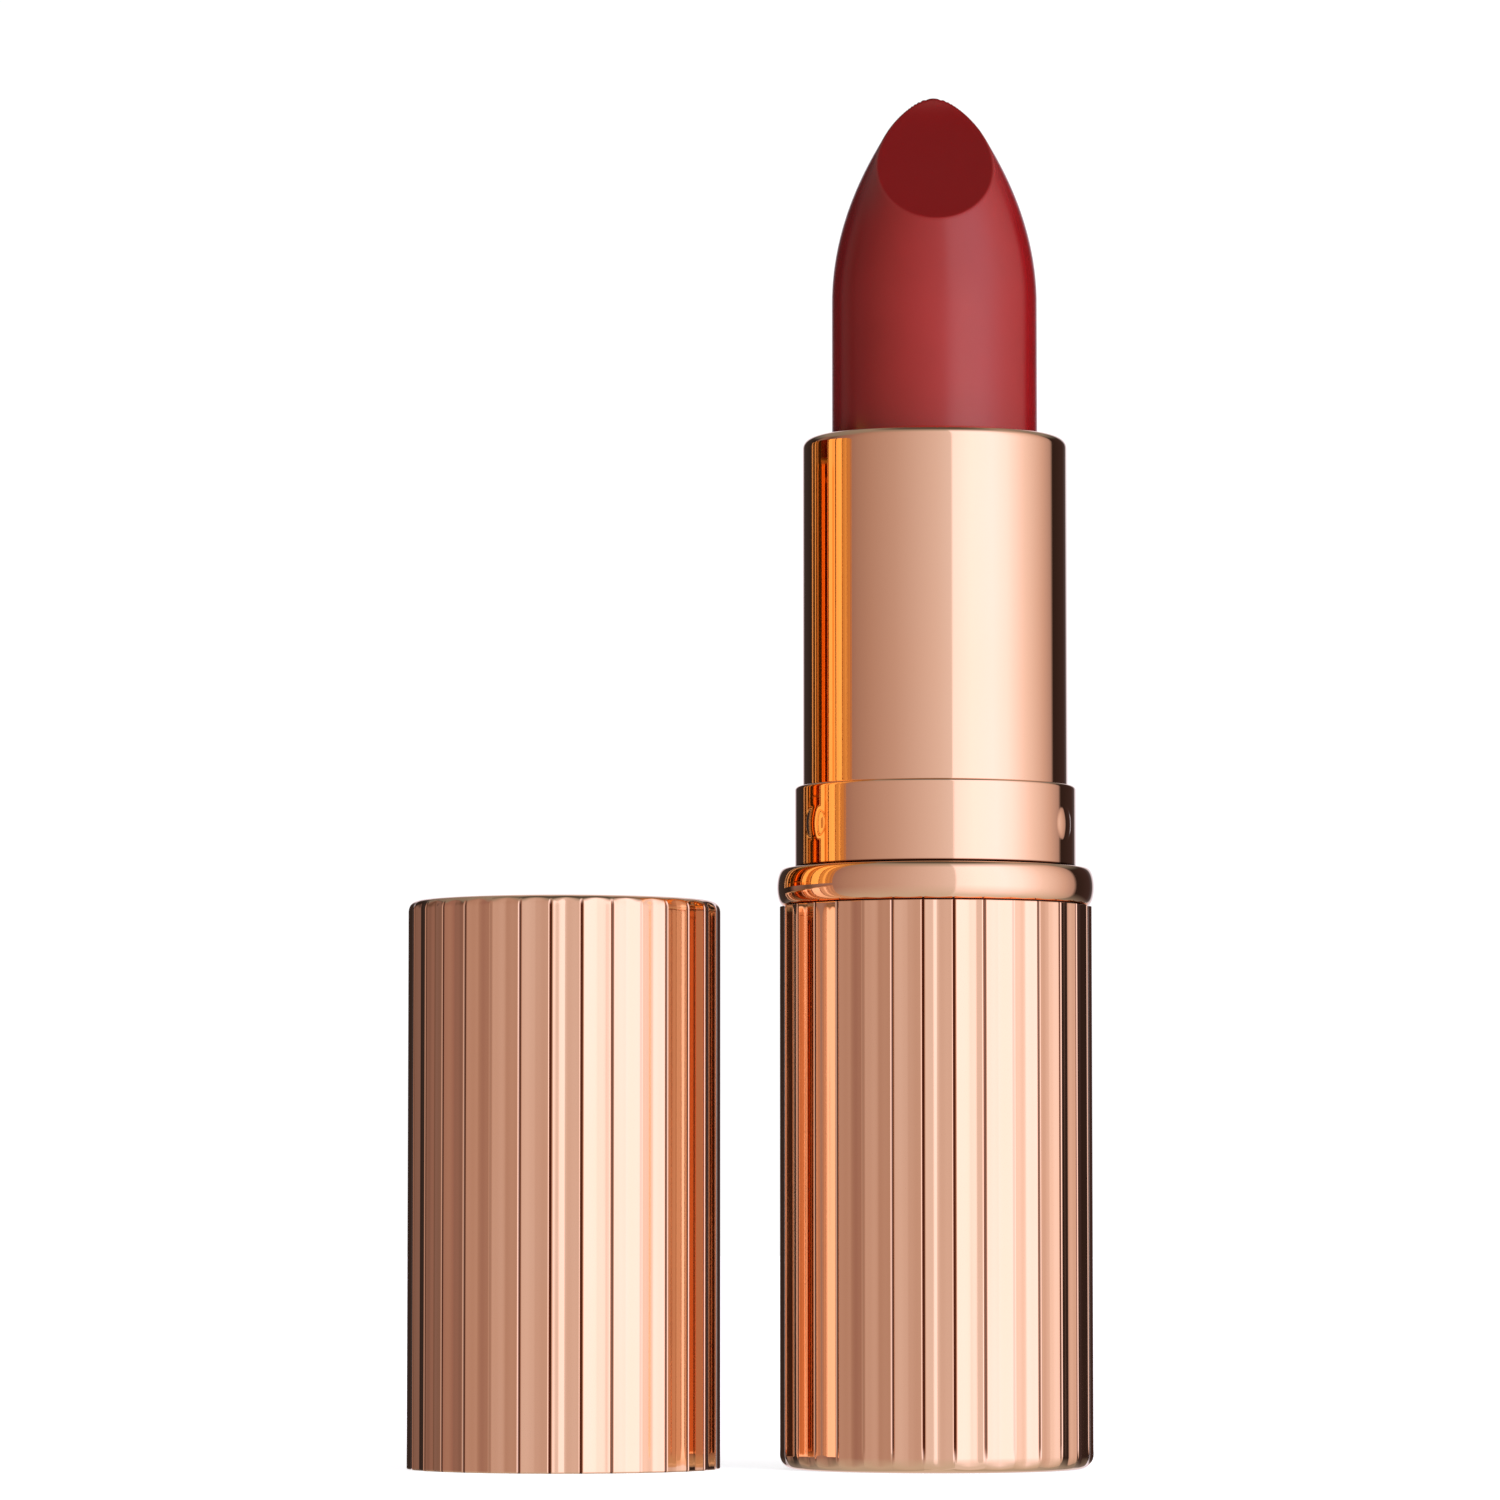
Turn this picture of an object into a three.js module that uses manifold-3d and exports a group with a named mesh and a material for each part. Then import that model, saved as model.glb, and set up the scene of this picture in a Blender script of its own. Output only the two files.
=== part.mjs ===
/**
 * A twist-up lipstick in a fluted metal case, open, with its cap standing beside it.
 *
 * Millimetres, +Z up. The origin is on the table, under the middle of the base. Azimuths are measured
 * about Z from the front (-Y) towards the right (+X). Turning the sleeve against the base moves two
 * lugs on the bullet's cup along the helical slots of the cam sleeve, while the upright slots of the
 * guide sleeve keep them from turning, so the bullet rises or sinks.
 */
import * as THREE from 'three';
import { mergeVertices } from 'three/addons/utils/BufferGeometryUtils.js';
import Module from 'manifold-3d';

const wasm = await Module();
wasm.setup();

// ---- Driving dimensions -------------------------------------------------------------------------

// Fluted outside of the base and the cap.
const FLUTE_COUNT = 32;
const FLUTE_DEPTH = 0.13;
const CASE_RADIUS = 9.2;
const CASE_BORE = 8.85;
const BASE_HEIGHT = 32.85;
const FOOT_ROUNDING = 0.9;
const CAP_HEIGHT = 33.15;
const CAP_ROUNDING = 0.75;
const CAP_DISTANCE = 21.8;

// Ring on top of the base, and the smooth sleeve that turns above it.
const RING_BOTTOM = 33;
const RING_TOP = 34.95;
const RING_RADIUS = 9.3;
const RING_END_RADIUS = 8.9;
const BAND_BOTTOM = 35.15;
const BAND_TOP = 39.9;
const BAND_RADIUS = 8.25;
const SLEEVE_RADIUS = 7.78;
const SLEEVE_TOP = 60.45;
const SLEEVE_WALL = 0.35;
const LIP_RADIUS = 6.55;
const BUMP_AZIMUTHS = [-60, 65, 182.5];
const BUMP_HEIGHT = 37.55;

// Bullet and its travel. The nose curves in over NOSE_CURVE, then runs straight, as a cone. Its
// slanted face is straight, and turns up by TIP_LIFT close to the tip.
const BULLET_RADIUS = 6.05;
const TIP_HEIGHT = 81.1;
const TIP_DEPTH = 1.47;
const NOSE_LENGTH = 12.55;
const NOSE_REACH = 13.9;
const NOSE_CURVE = 9.2;
const FACE_SLOPE = 1.1;
const TIP_LIFT = 0.6;
const TIP_RUN = 0.5;
const TRAVEL = 21.2;
const TURNS = 1.25;

// Mechanism, from the bullet outwards.
const CUP_BORE = 5.8;
const CUP_RADIUS = 6.25;
const CUP_BOTTOM = 50.8;
const CUP_TOP = 59.6;
const LUG_RADIUS = 0.9;
const LUG_HEIGHT = 52;
const LUG_REACH = 7.33;
const GUIDE_BORE = 6.35;
const GUIDE_RADIUS = 6.85;
const CAM_BORE = 6.92;
const CAM_RADIUS = 7.38;
const CAM_BOTTOM = 29.2;
const CAM_TOP = 59.8;

// Moulded insert in the base.
const INSERT_WEB_BOTTOM = 24.4;
const INSERT_WEB_TOP = 26.2;
const INSERT_BORE = 7.65;
const BRAKE_HEIGHT = 31.4;
const BRAKE_SECTION = 0.4;

const RUNNING_GAP = 0.05;
const ROUND_SEGMENTS = 48;
const FLUTED_SEGMENTS = 2 * FLUTE_COUNT;

// ---- Shape helpers ------------------------------------------------------------------------------

/** Points [radius, height] along an arc, with its angles in degrees. */
function arc([centreRadius, centreHeight], radius, from, to, steps) {
  return Array.from({ length: steps + 1 }, (_, i) => {
    const angle = THREE.MathUtils.degToRad(from + ((to - from) * i) / steps);
    return [centreRadius + radius * Math.cos(angle), centreHeight + radius * Math.sin(angle)];
  });
}

/** Turns a profile of [radius, height] points about the Z axis, starting at the front. */
function turned(profile, segments = ROUND_SEGMENTS) {
  const points = profile.map(([radius, height]) => new THREE.Vector2(radius, height));
  return new THREE.LatheGeometry(points, segments).rotateX(Math.PI / 2);
}

/** A turned ring: its profile is closed on itself. */
function turnedRing(profile, segments) {
  return turned([...profile, profile[0]], segments);
}

/** A turned shell whose outer wall has shallow V flutes between two heights. */
function fluted(profile, lowest, highest) {
  const geometry = turned(profile, FLUTED_SEGMENTS);
  const position = geometry.getAttribute('position');
  for (let i = 0; i < position.count; i += 1) {
    const line = Math.floor(i / profile.length);
    const [radius, height] = profile[i % profile.length];
    const onFlute = radius > CASE_BORE + FLUTE_DEPTH && height >= lowest && height <= highest;
    if (onFlute && line % 2 === 0) {
      const scale = (radius - FLUTE_DEPTH) / radius;
      position.setXY(i, position.getX(i) * scale, position.getY(i) * scale);
    }
  }
  return geometry;
}

/** The manifold solid of a closed geometry. */
function toSolid(geometry) {
  const bare = geometry.clone();
  bare.deleteAttribute('normal');
  bare.deleteAttribute('uv');
  const merged = mergeVertices(bare, 1e-4);
  const triVerts = [];
  for (let i = 0; i < merged.index.count; i += 3) {
    const [a, b, c] = [0, 1, 2].map((corner) => merged.index.getX(i + corner));
    if (a !== b && b !== c && c !== a) {
      triVerts.push(a, b, c);
    }
  }
  const vertProperties = new Float32Array(merged.getAttribute('position').array);
  return new wasm.Manifold(new wasm.Mesh({ numProp: 3, vertProperties, triVerts: new Uint32Array(triVerts) }));
}

/** The geometry of a manifold solid. */
function toGeometry(solid) {
  const { vertProperties, triVerts } = solid.getMesh();
  const geometry = new THREE.BufferGeometry();
  geometry.setAttribute('position', new THREE.BufferAttribute(vertProperties, 3));
  geometry.setIndex(new THREE.BufferAttribute(triVerts, 1));
  geometry.computeVertexNormals();
  return geometry;
}

/** A helix about Z that climbs as it turns from +X towards +Y. */
class Helix extends THREE.Curve {
  constructor(radius, fromAngle, toAngle, heightAt) {
    super();
    Object.assign(this, { radius, fromAngle, toAngle, heightAt });
  }

  getPoint(t, target = new THREE.Vector3()) {
    const angle = THREE.MathUtils.lerp(this.fromAngle, this.toAngle, t);
    return target.set(this.radius * Math.cos(angle), this.radius * Math.sin(angle), this.heightAt(angle));
  }
}

/** A round bar swept along a curve. */
function sweptBar(curve, radius, steps, sides = 8) {
  const section = new THREE.Shape(new THREE.EllipseCurve(0, 0, radius, radius).getPoints(sides).slice(0, sides));
  return new THREE.ExtrudeGeometry(section, { steps, bevelEnabled: false, extrudePath: curve });
}

// ---- Base ---------------------------------------------------------------------------------------

function baseShell() {
  const floor = 0.6;
  const recessRadius = 7.65;
  const recessDepth = 0.25;
  const rimThickness = 0.15;
  const profile = [
    [0, recessDepth],
    [recessRadius, recessDepth],
    [recessRadius, 0],
    ...arc([CASE_RADIUS - FOOT_ROUNDING, FOOT_ROUNDING], FOOT_ROUNDING, -90, 0, 4),
    [CASE_RADIUS, BASE_HEIGHT - rimThickness],
    [CASE_RADIUS - rimThickness, BASE_HEIGHT],
    [CASE_BORE, BASE_HEIGHT],
    [CASE_BORE, floor],
    [0, floor],
  ];
  return fluted(profile, FOOT_ROUNDING, BASE_HEIGHT - rimThickness);
}

function shadeLabel() {
  return turned([[0, 0.03], [7.5, 0.03], [7.5, 0.18], [0, 0.18]]);
}

function baseWeight() {
  const radius = 7.7;
  const bottom = 0.7;
  const top = 4.9;
  const chamfer = 0.4;
  return turned([
    [0, bottom],
    [radius - chamfer, bottom],
    [radius, bottom + chamfer],
    [radius, top - chamfer],
    [radius - chamfer, top],
    [0, top],
  ]);
}

function baseInsert() {
  const skirtBottom = 5.2;
  const skirtBore = 7.95;
  const shoulder = BASE_HEIGHT - 0.1;
  const neckRadius = 8.2;
  const neckTop = RING_TOP - 0.1;
  const grooveRadius = INSERT_BORE + 0.65;
  const grooveHalf = BRAKE_SECTION + RUNNING_GAP;
  const outerRadius = CASE_BORE - RUNNING_GAP;
  return turned([
    [0, INSERT_WEB_BOTTOM],
    [skirtBore, INSERT_WEB_BOTTOM],
    [skirtBore, skirtBottom],
    [outerRadius, skirtBottom],
    [outerRadius, shoulder],
    [neckRadius, shoulder],
    [neckRadius, neckTop],
    [INSERT_BORE, neckTop],
    [INSERT_BORE, BRAKE_HEIGHT + grooveHalf],
    [grooveRadius, BRAKE_HEIGHT + grooveHalf],
    [grooveRadius, BRAKE_HEIGHT - grooveHalf],
    [INSERT_BORE, BRAKE_HEIGHT - grooveHalf],
    [INSERT_BORE, INSERT_WEB_TOP],
    [0, INSERT_WEB_TOP],
  ]);
}

function brakeRing() {
  const centre = CAM_RADIUS + RUNNING_GAP + BRAKE_SECTION;
  const section = arc([centre, BRAKE_HEIGHT], BRAKE_SECTION, 0, 315, 7);
  return turnedRing(section);
}

function collarRing() {
  const bore = 8.25;
  const halfHeight = (RING_TOP - RING_BOTTOM) / 2;
  const middle = (RING_TOP + RING_BOTTOM) / 2;
  const bulge = RING_RADIUS - RING_END_RADIUS;
  const barrel = Array.from({ length: 7 }, (_, i) => {
    const slope = THREE.MathUtils.degToRad(-90 + 30 * i);
    return [RING_END_RADIUS + bulge * Math.cos(slope), middle + halfHeight * Math.sin(slope)];
  });
  return turnedRing([[bore, RING_BOTTOM], ...barrel, [bore, RING_TOP]]);
}

function guideSleeve() {
  const bottom = INSERT_WEB_TOP + RUNNING_GAP;
  const flangeTop = bottom + 1.6;
  const flangeRadius = INSERT_BORE - RUNNING_GAP;
  const top = SLEEVE_TOP - 0.9;
  const tube = turnedRing([
    [GUIDE_BORE, bottom],
    [flangeRadius, bottom],
    [flangeRadius, flangeTop],
    [GUIDE_RADIUS, flangeTop],
    [GUIDE_RADIUS, top],
    [GUIDE_BORE, top],
  ]);
  const slotMargin = LUG_RADIUS + 0.3;
  const slotBottom = LUG_HEIGHT - TRAVEL - slotMargin;
  const slotTop = LUG_HEIGHT + slotMargin;
  const slots = new THREE.BoxGeometry(4 * GUIDE_RADIUS, 2 * (LUG_RADIUS + RUNNING_GAP), slotTop - slotBottom);
  slots.translate(0, 0, (slotTop + slotBottom) / 2);
  return toGeometry(toSolid(tube).subtract(toSolid(slots)));
}

// ---- Turning sleeve -----------------------------------------------------------------------------

function sleeveShell() {
  const bandBore = BAND_RADIUS - 0.4;
  const bore = SLEEVE_RADIUS - SLEEVE_WALL;
  const lipRounding = 0.55;
  const lipThickness = 0.4;
  const bandEdge = 0.2;
  const shell = turnedRing([
    [bandBore, BAND_BOTTOM],
    [BAND_RADIUS - 0.1, BAND_BOTTOM],
    [BAND_RADIUS, BAND_BOTTOM + 0.1],
    ...arc([BAND_RADIUS - bandEdge, BAND_TOP - bandEdge], bandEdge, 0, 90, 2),
    [SLEEVE_RADIUS, BAND_TOP],
    ...arc([SLEEVE_RADIUS - lipRounding, SLEEVE_TOP - lipRounding], lipRounding, 0, 90, 4),
    [LIP_RADIUS + 0.1, SLEEVE_TOP],
    [LIP_RADIUS, SLEEVE_TOP - 0.1],
    [LIP_RADIUS, SLEEVE_TOP - lipThickness],
    [bore, SLEEVE_TOP - lipThickness],
    [bore, BAND_TOP - 0.4],
    [bandBore, BAND_TOP - 0.4],
  ]);
  return toGeometry(BUMP_AZIMUTHS.reduce((solid, azimuth) => solid.add(bump(azimuth)), toSolid(shell)));
}

/** One pressed bump on the band: a flat round pip, mostly sunk in the wall. */
function bump(azimuth) {
  const halfWidth = 1;
  const rise = 0.14;
  const towards = THREE.MathUtils.degToRad(azimuth - 90);
  const pip = new THREE.SphereGeometry(1, 12, 8)
    .scale(rise, halfWidth, halfWidth)
    .translate(BAND_RADIUS - 0.01, 0, BUMP_HEIGHT)
    .rotateZ(towards);
  return toSolid(pip);
}

function camSleeve() {
  const collarRadius = BAND_RADIUS - 0.4 - RUNNING_GAP;
  const collarBottom = BAND_BOTTOM + 0.2;
  const collarTop = BAND_TOP - 0.5;
  const tube = turnedRing([
    [CAM_BORE, CAM_BOTTOM],
    [CAM_RADIUS, CAM_BOTTOM],
    [CAM_RADIUS, collarBottom],
    [collarRadius, collarBottom],
    [collarRadius, collarTop],
    [CAM_RADIUS, collarTop],
    [CAM_RADIUS, CAM_TOP],
    [CAM_BORE, CAM_TOP],
  ]);
  const slots = [0, Math.PI].map((lugAngle) => toSolid(helicalSlot(lugAngle)));
  return toGeometry(slots.reduce((solid, slot) => solid.subtract(slot), toSolid(tube)));
}

/** The cutter for one helical slot, which has its lug at its upper end when the bullet is raised. */
function helicalSlot(lugAngle) {
  const lead = TRAVEL / TURNS;
  const overrun = THREE.MathUtils.degToRad(12);
  const heightAt = (angle) => LUG_HEIGHT + (lead * (angle - lugAngle)) / (2 * Math.PI);
  const from = lugAngle - 2 * Math.PI * TURNS - overrun;
  const path = new Helix((CAM_BORE + CAM_RADIUS) / 2, from, lugAngle + overrun, heightAt);
  return sweptBar(path, LUG_RADIUS + 0.15, 40);
}

// ---- Bullet carrier -----------------------------------------------------------------------------

function bulletCup() {
  const floor = CUP_BOTTOM + 0.8;
  const cup = turned([
    [0, CUP_BOTTOM],
    [CUP_RADIUS, CUP_BOTTOM],
    [CUP_RADIUS, CUP_TOP],
    [CUP_BORE, CUP_TOP],
    [CUP_BORE, floor],
    [0, floor],
  ]);
  return toGeometry([1, -1].reduce((solid, side) => solid.add(lug(side)), toSolid(cup)));
}

/** One lug: a short round pin that stands out of the cup along X. */
function lug(side) {
  const root = CUP_BORE + 0.2;
  const pin = new THREE.CylinderGeometry(LUG_RADIUS, LUG_RADIUS, LUG_REACH - root, 16)
    .rotateZ(Math.PI / 2)
    .translate((side * (LUG_REACH + root)) / 2, 0, LUG_HEIGHT);
  return toSolid(pin);
}

function bullet() {
  const rootBottom = CUP_BOTTOM + 0.8 + RUNNING_GAP;
  const rootRadius = CUP_BORE - RUNNING_GAP;
  const bodyBottom = CUP_TOP + RUNNING_GAP;
  const shoulder = TIP_HEIGHT - NOSE_LENGTH;
  const noseSteps = 8;
  const nose = Array.from({ length: noseSteps + 1 }, (_, i) => {
    const rise = (NOSE_CURVE * i) / noseSteps;
    return [BULLET_RADIUS * (1 - (rise / NOSE_REACH) ** 2), shoulder + rise];
  });
  const coneSlope = (2 * BULLET_RADIUS * NOSE_CURVE) / NOSE_REACH ** 2;
  const coneRadius = nose.at(-1)[0];
  const body = turned([
    [0, rootBottom],
    [rootRadius, rootBottom],
    [rootRadius, bodyBottom],
    [BULLET_RADIUS, bodyBottom],
    ...nose,
    [0, shoulder + NOSE_CURVE + coneRadius / coneSlope],
  ]);
  return toGeometry(toSolid(body).subtract(toSolid(noseCut())));
}

/** The cutter for the slanted face, with its steps closest together at the tip. */
function noseCut() {
  const clear = 2 * BULLET_RADIUS;
  const steps = 9;
  const face = Array.from({ length: steps + 1 }, (_, i) => {
    const forward = clear * (i / steps) ** 3;
    const drop = FACE_SLOPE * forward + TIP_LIFT * (1 - Math.exp(-forward / TIP_RUN));
    return new THREE.Vector2(TIP_DEPTH - forward, TIP_HEIGHT - drop);
  });
  const above = [
    new THREE.Vector2(TIP_DEPTH - clear, TIP_HEIGHT + clear),
    new THREE.Vector2(TIP_DEPTH, TIP_HEIGHT + clear),
  ];
  const outline = new THREE.Shape([...face, ...above].reverse());
  const cutter = new THREE.ExtrudeGeometry(outline, { depth: 2 * clear, bevelEnabled: false });
  return cutter
    .translate(0, 0, -clear)
    .applyMatrix4(new THREE.Matrix4().makeBasis(
      new THREE.Vector3(0, 1, 0),
      new THREE.Vector3(0, 0, 1),
      new THREE.Vector3(1, 0, 0),
    ));
}

// ---- Cap, standing mouth down -------------------------------------------------------------------

function capShell() {
  const ceiling = CAP_HEIGHT - 0.5;
  const rimThickness = 0.12;
  const profile = [
    [0, ceiling],
    [CASE_BORE, ceiling],
    [CASE_BORE, 0],
    [CASE_RADIUS - rimThickness, 0],
    [CASE_RADIUS, rimThickness],
    ...arc([CASE_RADIUS - CAP_ROUNDING, CAP_HEIGHT - CAP_ROUNDING], CAP_ROUNDING, 0, 90, 4),
    [0, CAP_HEIGHT],
  ];
  return fluted(profile, rimThickness, CAP_HEIGHT - CAP_ROUNDING);
}

function capLiner() {
  const mouth = 0.4;
  const outerRadius = CASE_BORE - RUNNING_GAP;
  const bandBore = 8.42;
  const beadBore = 8.32;
  const beadHeight = 1.5;
  const bandBoreTop = 5.05;
  const sleeveBore = 7.95;
  const ceiling = 29;
  const top = 29.8;
  const beadHalf = 0.4;
  return turned([
    [0, ceiling],
    [sleeveBore, ceiling],
    [sleeveBore, bandBoreTop],
    [bandBore, bandBoreTop - 0.3],
    [bandBore, beadHeight + beadHalf],
    [beadBore, beadHeight],
    [bandBore, beadHeight - beadHalf],
    [bandBore, mouth],
    [outerRadius, mouth],
    [outerRadius, top],
    [0, top],
  ]);
}

// ---- Materials ----------------------------------------------------------------------------------

const roseGold = () => new THREE.MeshStandardMaterial({ color: 0xe0a080, metalness: 1, roughness: 0.12 });
const lipstickRed = () => new THREE.MeshStandardMaterial({ color: 0x8f1f2a, metalness: 0, roughness: 0.4 });
const blackPlastic = () => new THREE.MeshStandardMaterial({ color: 0x202022, metalness: 0, roughness: 0.55 });
const whitePlastic = () => new THREE.MeshStandardMaterial({ color: 0xe8e6e0, metalness: 0, roughness: 0.5 });
const brightSteel = () => new THREE.MeshStandardMaterial({ color: 0xb8bcc0, metalness: 1, roughness: 0.35 });
const softRubber = () => new THREE.MeshStandardMaterial({ color: 0x303030, metalness: 0, roughness: 0.8 });
const labelPaper = () => new THREE.MeshStandardMaterial({ color: 0xf1e6df, metalness: 0, roughness: 0.7 });

// ---- Assembly -----------------------------------------------------------------------------------

function piece(name, geometry, material) {
  const mesh = new THREE.Mesh(geometry, material);
  mesh.name = name;
  return mesh;
}

function together(...pieces) {
  const group = new THREE.Group();
  group.add(...pieces);
  return group;
}

const base = together(
  piece('base_shell', baseShell(), roseGold()),
  piece('base_insert', baseInsert(), blackPlastic()),
  piece('base_weight', baseWeight(), brightSteel()),
  piece('shade_label', shadeLabel(), labelPaper()),
  piece('collar_ring', collarRing(), roseGold()),
  piece('guide_sleeve', guideSleeve(), whitePlastic()),
  piece('brake_ring', brakeRing(), softRubber()),
);

const turningSleeve = together(
  piece('sleeve_shell', sleeveShell(), roseGold()),
  piece('cam_sleeve', camSleeve(), blackPlastic()),
);

const carrier = together(
  piece('bullet_cup', bulletCup(), whitePlastic()),
  piece('bullet', bullet(), lipstickRed()),
);

const cap = together(
  piece('cap_shell', capShell(), roseGold()),
  piece('cap_liner', capLiner(), blackPlastic()),
);
cap.position.x = -CAP_DISTANCE;

export default together(base, turningSleeve, carrier, cap);
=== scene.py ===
import math

import bmesh
import bpy
from mathutils import Matrix, Vector


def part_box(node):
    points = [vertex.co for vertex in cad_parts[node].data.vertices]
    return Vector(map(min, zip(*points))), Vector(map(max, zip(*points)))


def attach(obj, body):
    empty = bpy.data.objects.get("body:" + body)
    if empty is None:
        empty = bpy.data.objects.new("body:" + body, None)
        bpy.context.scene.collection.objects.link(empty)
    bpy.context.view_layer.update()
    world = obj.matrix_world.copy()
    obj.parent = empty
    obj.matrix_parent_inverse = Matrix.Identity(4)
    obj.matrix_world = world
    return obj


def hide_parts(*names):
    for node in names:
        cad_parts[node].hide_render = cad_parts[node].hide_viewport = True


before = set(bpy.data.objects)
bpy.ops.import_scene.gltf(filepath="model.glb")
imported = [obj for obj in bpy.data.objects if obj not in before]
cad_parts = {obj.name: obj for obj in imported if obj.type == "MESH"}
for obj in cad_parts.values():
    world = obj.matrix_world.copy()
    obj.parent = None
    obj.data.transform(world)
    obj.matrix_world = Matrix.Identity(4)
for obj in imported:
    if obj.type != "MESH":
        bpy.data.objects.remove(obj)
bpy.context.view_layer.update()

# A twist-up lipstick, open, with its cap beside it: fine meshes for the pieces that show, every piece's
# material, and the studio that the polished metal reflects.
#
# Outlines are in millimetres, as (radius, height) about an upright axis. Blender gets metres. Azimuths
# are in degrees, from the front (-Y) towards the right (+X).
MM = 0.001


def span(node):
    """A CAD node's lowest height, highest height and radius, in millimetres."""
    low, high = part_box(node)
    return low.z / MM, high.z / MM, (high.y - low.y) / 2 / MM


def axis_of(node):
    """The middle of a CAD node, in millimetres along X."""
    low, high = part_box(node)
    return (low.x + high.x) / 2 / MM


BASE_BOTTOM, BASE_TOP, _ = span("base_shell")
RING_BOTTOM, RING_TOP, RING_RADIUS = span("collar_ring")
SLEEVE_BOTTOM, SLEEVE_TOP, _ = span("sleeve_shell")
CUP_BOTTOM, CUP_TOP, CUP_RADIUS = span("bullet_cup")
_, TIP_HEIGHT, BULLET_RADIUS = span("bullet")
CAP_BOTTOM, CAP_TOP, _ = span("cap_shell")
CAP_AXIS = axis_of("cap_shell")

CASE_RADIUS = 9.2
CASE_BORE = 8.85
SLEEVE_RADIUS = 7.78
BAND_RADIUS = 8.25
BAND_TOP = SLEEVE_BOTTOM + 4.75
LIP_RADIUS = 6.55

# Shallow V flutes on the base and the cap. A phase is the azimuth of one flute's middle, and the
# softness of a valley is a share of the pitch.
FLUTE_COUNT = 32
FLUTE_DEPTH = 0.134
BASE_PHASE = -0.5
CAP_PHASE = 2.2
VALLEY_SOFTNESS = 0.035
WAVE_DEPTH = 0.005
WAVES_PER_FLUTE = 2.2
WAVE_SHIFT = 0.37

# The crease on each ridge between two flutes. Its painted shade begins and is full at these shares of
# its depth. Creases are numbered around the case, and one in every FAINT_EVERY is faint.
CREASE_DEPTH = 0.11
CREASE_HALF_WIDTH = 0.13
CREASE_DARK = (0.25, 0.7)
FAINT_EVERY = 5
FIRST_FAINT = 2
FAINTNESS = 0.8

# The bumps pressed out of the sleeve's band, and the heights above its lower edge over which the
# painted shade of the joint there fades.
BUMP_HEIGHT = SLEEVE_BOTTOM + 2.4
BUMP_RADIUS = 1.0
BUMP_RISE = 0.135
BUMP_AZIMUTHS = (-60, 65, 182.5)
JOINT_DARK = (0.06, 0.15)

# The bullet's nose curves in over NOSE_CURVE, then runs straight, as a cone. Its slanted face is
# straight, and turns up by TIP_LIFT close to the tip. The face's painted shade, a deeper red, begins and
# is full where it lies this far below the uncut nose. It begins just outside the edge of the cut.
NOSE_LENGTH = 12.55
NOSE_REACH = 13.9
NOSE_CURVE = 9.2
TIP_DEPTH = 1.47
FACE_SLOPE = 1.1
TIP_LIFT = 0.6
TIP_RUN = 0.5
FACE_DARK = (-0.05, 0.2)

ROUND_SIDES = 192

# Radii that differ by less than this are the same.
SAME = 1e-4


# ---- Outlines and turned meshes -----------------------------------------------------------------


def smoothstep(low, high, value):
    """0 below low, 1 above high, and a smooth rise between them."""
    share = min(1.0, max(0.0, (value - low) / (high - low)))
    return share * share * (3 - 2 * share)


def rounded(corners, steps=5, closed=True):
    """The points of an outline given as (radius, height, rounding) corners.

    Each rounded corner becomes an arc with a support point just before and after it, so that smooth
    shading stays on the arc. The two ends of an open outline stay as they are.
    """
    points = []
    for i, (radius, height, rounding) in enumerate(corners):
        corner = Vector((radius, height))
        if rounding == 0 or (not closed and i in (0, len(corners) - 1)):
            points.append(corner)
            continue
        before = Vector(corners[i - 1][:2]) - corner
        after = Vector(corners[(i + 1) % len(corners)][:2]) - corner
        points.extend(corner_arc(corner, before, after, rounding, steps))
    return points


def corner_arc(corner, before, after, rounding, steps):
    """The arc that rounds one corner, from its side towards before to its side towards after."""
    back = before.normalized()
    onward = after.normalized()
    half = back.angle(onward) / 2
    tangent = rounding / math.tan(half)
    centre = corner + (back + onward).normalized() * rounding / math.sin(half)
    start = corner + back * tangent - centre
    end = corner + onward * tangent - centre
    turn = start.angle_signed(end)
    arc = []
    for i in range(steps + 1):
        cos = math.cos(-turn * i / steps)
        sin = math.sin(-turn * i / steps)
        arc.append(centre + Vector((start.x * cos - start.y * sin, start.x * sin + start.y * cos)))
    support = tangent + 0.25 * rounding
    room = 2.5 * support
    first = [corner + back * support] if before.length > room else []
    last = [corner + onward * support] if after.length > room else []
    return first + arc + last


def with_rows(outline, radius, heights):
    """The outline with more points up its straight wall of that radius, for detail between them."""
    margin = 0.02
    rows = [outline[0]]
    for point, following in zip(outline, outline[1:]):
        if abs(point.x - radius) < SAME and abs(following.x - radius) < SAME:
            low, high = sorted((point.y, following.y))
            inside = [h for h in heights if low + margin < h < high - margin]
            inside.sort(reverse=following.y < point.y)
            rows.extend(Vector((radius, h)) for h in inside)
        rows.append(following)
    return rows


def even_angles():
    """Evenly spaced angles all round."""
    return [2 * math.pi * i / ROUND_SIDES for i in range(ROUND_SIDES)]


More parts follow.
